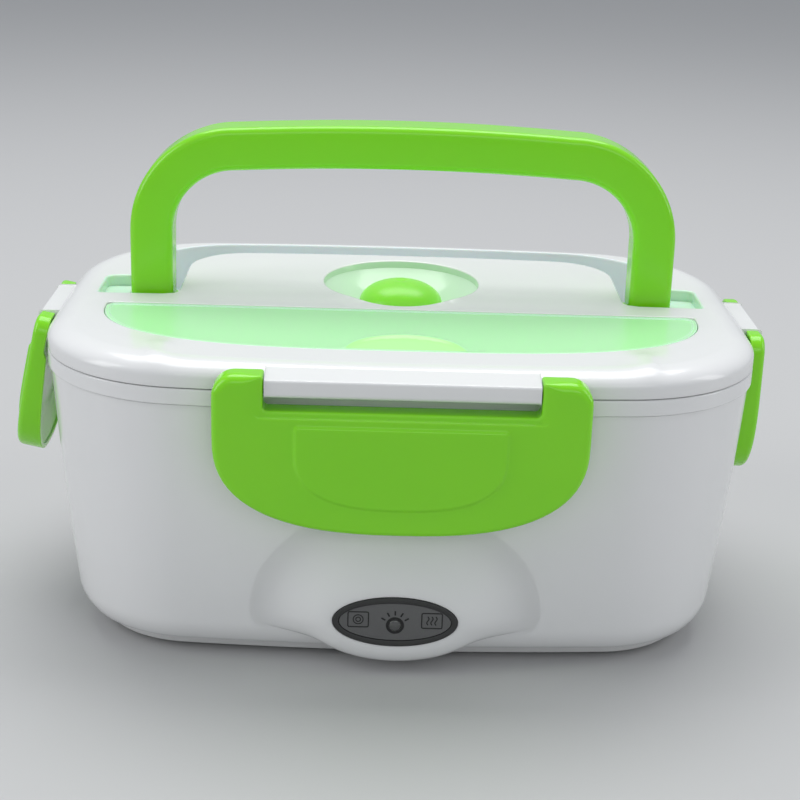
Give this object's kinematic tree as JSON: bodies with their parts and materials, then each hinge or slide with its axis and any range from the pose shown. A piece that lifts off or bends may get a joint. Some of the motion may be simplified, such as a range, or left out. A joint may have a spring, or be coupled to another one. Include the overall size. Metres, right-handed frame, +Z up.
{
  "type": "electric lunch box",
  "caption": "Portable heated lunch box with clip-on latched lid, fold-down carrying handle, steam vent plug, covered spoon store and removable food trays.",
  "frame": {"origin": "on the table under the middle of the case, level with the soles of the feet", "axes": "+Z up, -Y towards the lamp side, +X to the right seen from the lamp side"},
  "size_m": [0.2581, 0.1846, 0.1655],
  "materials": {
    "white_shell": "glossy moulded white plastic",
    "white_base": "fine-grained moulded white plastic",
    "green_gloss": "glossy slightly translucent lime green plastic",
    "green_soft": "smooth bright green silicone",
    "pale_green": "translucent pale green plastic",
    "silicone": "soft translucent white silicone",
    "plate_metal": "lightly brushed aluminium",
    "steel": "plain steel",
    "brass": "nickelled brass",
    "mica": "mica sheet",
    "wire_cover": "silicone wire cover",
    "board": "circuit board",
    "lens": "clear grey lens",
    "black_plastic": "black plastic",
    "grey_plastic": "dark grey satin plastic",
    "foot_rubber": "dark rubber",
    "tray_plastic": "smooth food-grade white plastic",
    "spoon_plastic": "smooth pale plastic"
  },
  "bodies": {
    "base": {"outer_shell": "white_shell", "inner_tub": "white_shell", "heating_plate": "plate_metal", "plate_seal": "silicone", "ptc_heater": "plate_metal", "mica_sheet": "mica", "heater_clamp": "steel", "clamp_screws": "steel", "thermal_fuse": "brass", "wiring": "wire_cover", "led_board": "board", "indicator_led": "lens", "lamp_bezel": "black_plastic", "lamp_panel": "grey_plastic", "lamp_lens": "lens", "power_inlet": "black_plastic", "inlet_pins": "brass", "bottom_cover": "white_base", "cover_screws": "steel", "feet": "foot_rubber", "food_tray": "tray_plastic", "small_tray": "tray_plastic", "small_tray_lid": "pale_green"},
    "lid": {"lid_shell": "white_shell", "lid_liner": "white_base", "lid_gasket": "silicone", "spoon": "spoon_plastic"},
    "handle": {"handle": "green_gloss"},
    "vent_plug": {"vent_plug": "green_soft"},
    "spoon_cover": {"spoon_cover": "pale_green"},
    "front_latch": {"front_latch": "green_gloss"},
    "rear_latch": {"rear_latch": "green_gloss"},
    "left_latch": {"left_latch": "green_gloss"},
    "right_latch": {"right_latch": "green_gloss"}
  },
  "joints": [
    {"name": "lid_lift", "type": "slide", "parent": "base", "child": "lid", "axis": [0, 0, 1], "range_m": [0, 0.08]},
    {"name": "handle_fold", "type": "hinge", "parent": "lid", "child": "handle", "pos_m": [0, 0.0076, 0.1017], "axis": [-1, 0, 0], "range_deg": [0, 90]},
    {"name": "vent_pull", "type": "slide", "parent": "lid", "child": "vent_plug", "axis": [0, 0, 1], "range_m": [0, 0.03]},
    {"name": "spoon_cover_open", "type": "hinge", "parent": "lid", "child": "spoon_cover", "pos_m": [0, -0.02, 0.1033], "axis": [-1, 0, 0], "range_deg": [0, 85]},
    {"name": "front_latch_open", "type": "hinge", "parent": "lid", "child": "front_latch", "pos_m": [0, -0.0865, 0.1013], "axis": [-1, 0, 0], "range_deg": [0, 110]},
    {"name": "rear_latch_open", "type": "hinge", "parent": "lid", "child": "rear_latch", "pos_m": [0, 0.0865, 0.1013], "axis": [1, 0, 0], "range_deg": [0, 110]},
    {"name": "left_latch_open", "type": "hinge", "parent": "lid", "child": "left_latch", "pos_m": [-0.121, 0, 0.1013], "axis": [0, 1, 0], "range_deg": [-12, 98]},
    {"name": "right_latch_open", "type": "hinge", "parent": "lid", "child": "right_latch", "pos_m": [0.121, 0, 0.1013], "axis": [0, -1, 0], "range_deg": [0, 110]}
  ]
}
